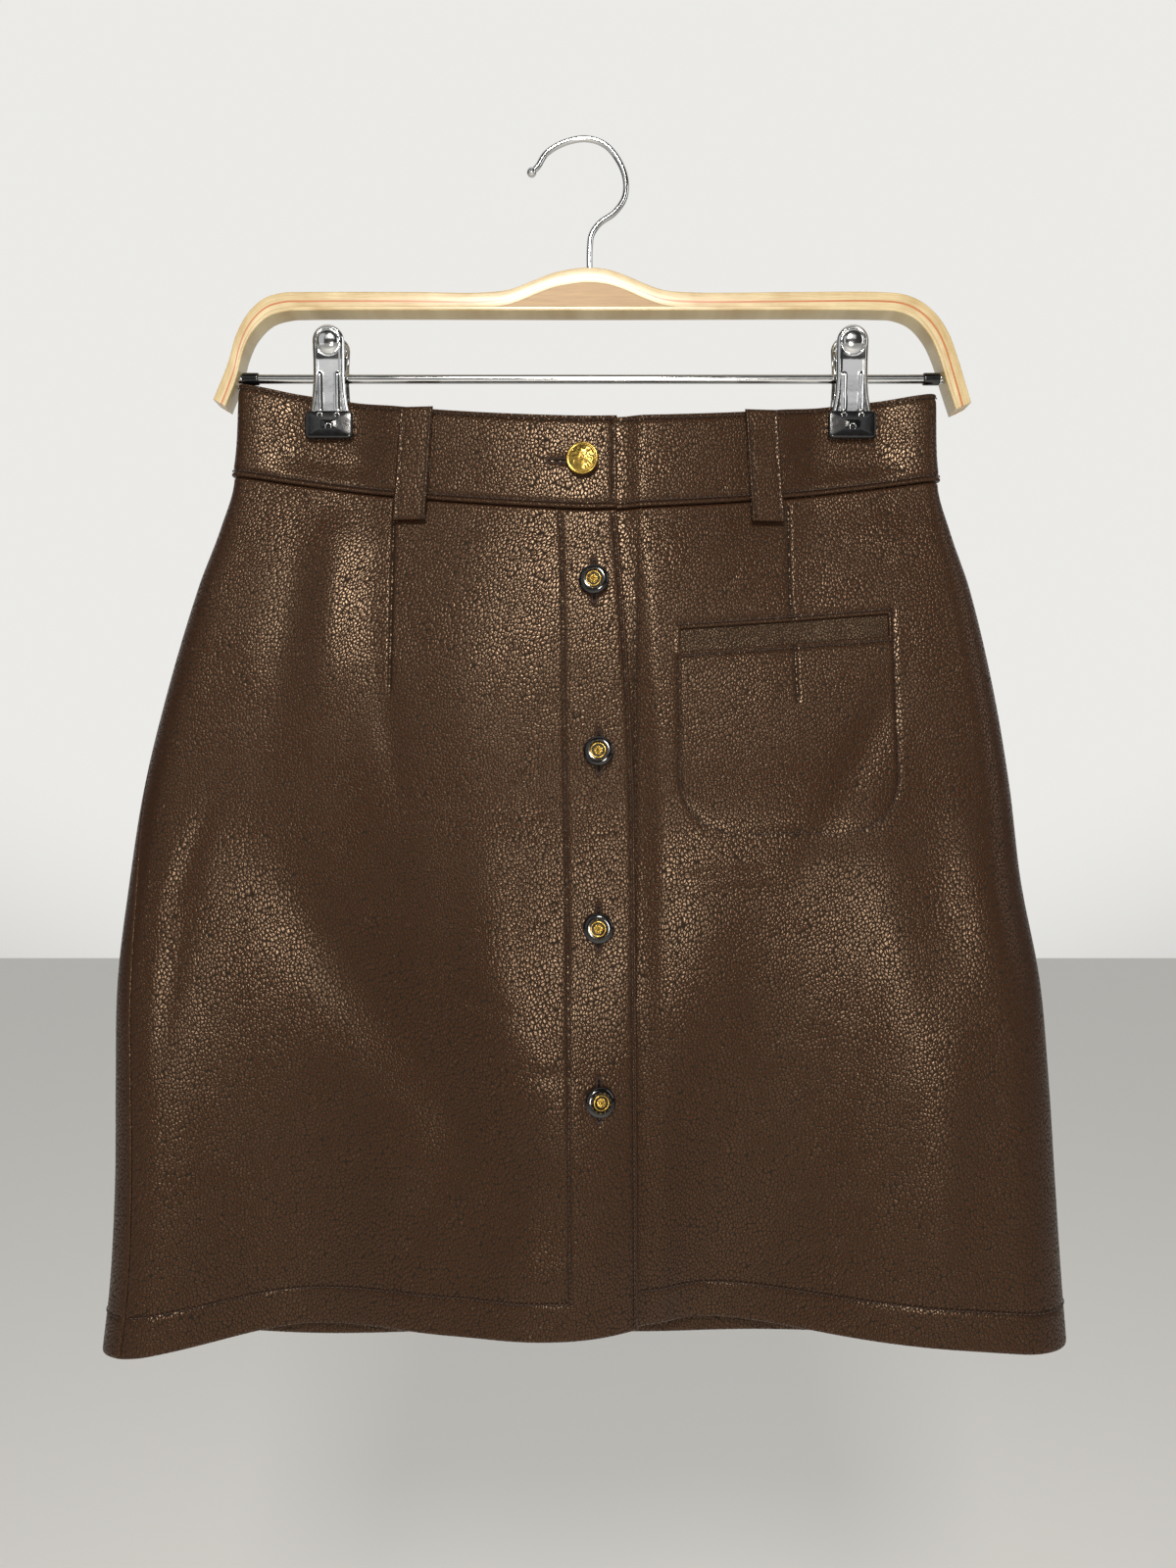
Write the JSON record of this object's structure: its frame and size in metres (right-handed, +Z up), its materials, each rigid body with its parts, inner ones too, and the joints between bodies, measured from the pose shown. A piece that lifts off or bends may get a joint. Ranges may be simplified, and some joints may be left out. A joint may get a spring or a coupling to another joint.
{
  "type": "leather mini skirt on a clip hanger",
  "caption": "Short A-line leather skirt with a buttoned front, belt loops and a set-in pocket, hung by its waistband from a bent plywood hanger with spring clips.",
  "frame": {"origin": "inside of the hook's crest, where the hanger rests on its peg", "axes": "+Z up, +X to the viewer's right across the front, +Y from the skirt's front to its back"},
  "size_m": [0.4724, 0.0504, 0.6033],
  "materials": {
    "leather": "pebbled dark brown, soft sheen",
    "smooth_leather": "fine-grained dark brown",
    "gilt": "polished gilt",
    "enamel": "glossy black with a gilt ring",
    "birch_plywood": "clear satin lacquer",
    "inlay_wood": "clear satin lacquer",
    "chrome": "polished",
    "vinyl": "glossy black dip"
  },
  "bodies": {
    "root": {"front_right_panel": "leather", "front_left_panel": "leather", "back_panel": "leather", "pocket_bag": "smooth_leather", "waistband_right": "leather", "waistband_left": "leather", "waistband_back": "leather", "belt_loop_front_right": "leather", "belt_loop_front_left": "leather", "belt_loop_back_right": "leather", "belt_loop_back_left": "leather", "button_waist": "gilt", "button_1": "enamel", "button_2": "enamel", "button_3": "enamel", "button_4": "enamel", "hanger_bow": "birch_plywood", "hanger_inlay": "inlay_wood", "hanger_hook": "chrome", "clip_bar": "chrome", "bar_cap_left": "vinyl", "bar_cap_right": "vinyl", "clip_left_front_jaw": "chrome", "clip_left_back_jaw": "chrome", "clip_left_front_pad": "vinyl", "clip_left_back_pad": "vinyl", "clip_left_spring": "chrome", "clip_right_front_jaw": "chrome", "clip_right_back_jaw": "chrome", "clip_right_front_pad": "vinyl", "clip_right_back_pad": "vinyl", "clip_right_spring": "chrome"}
  },
  "joints": []
}
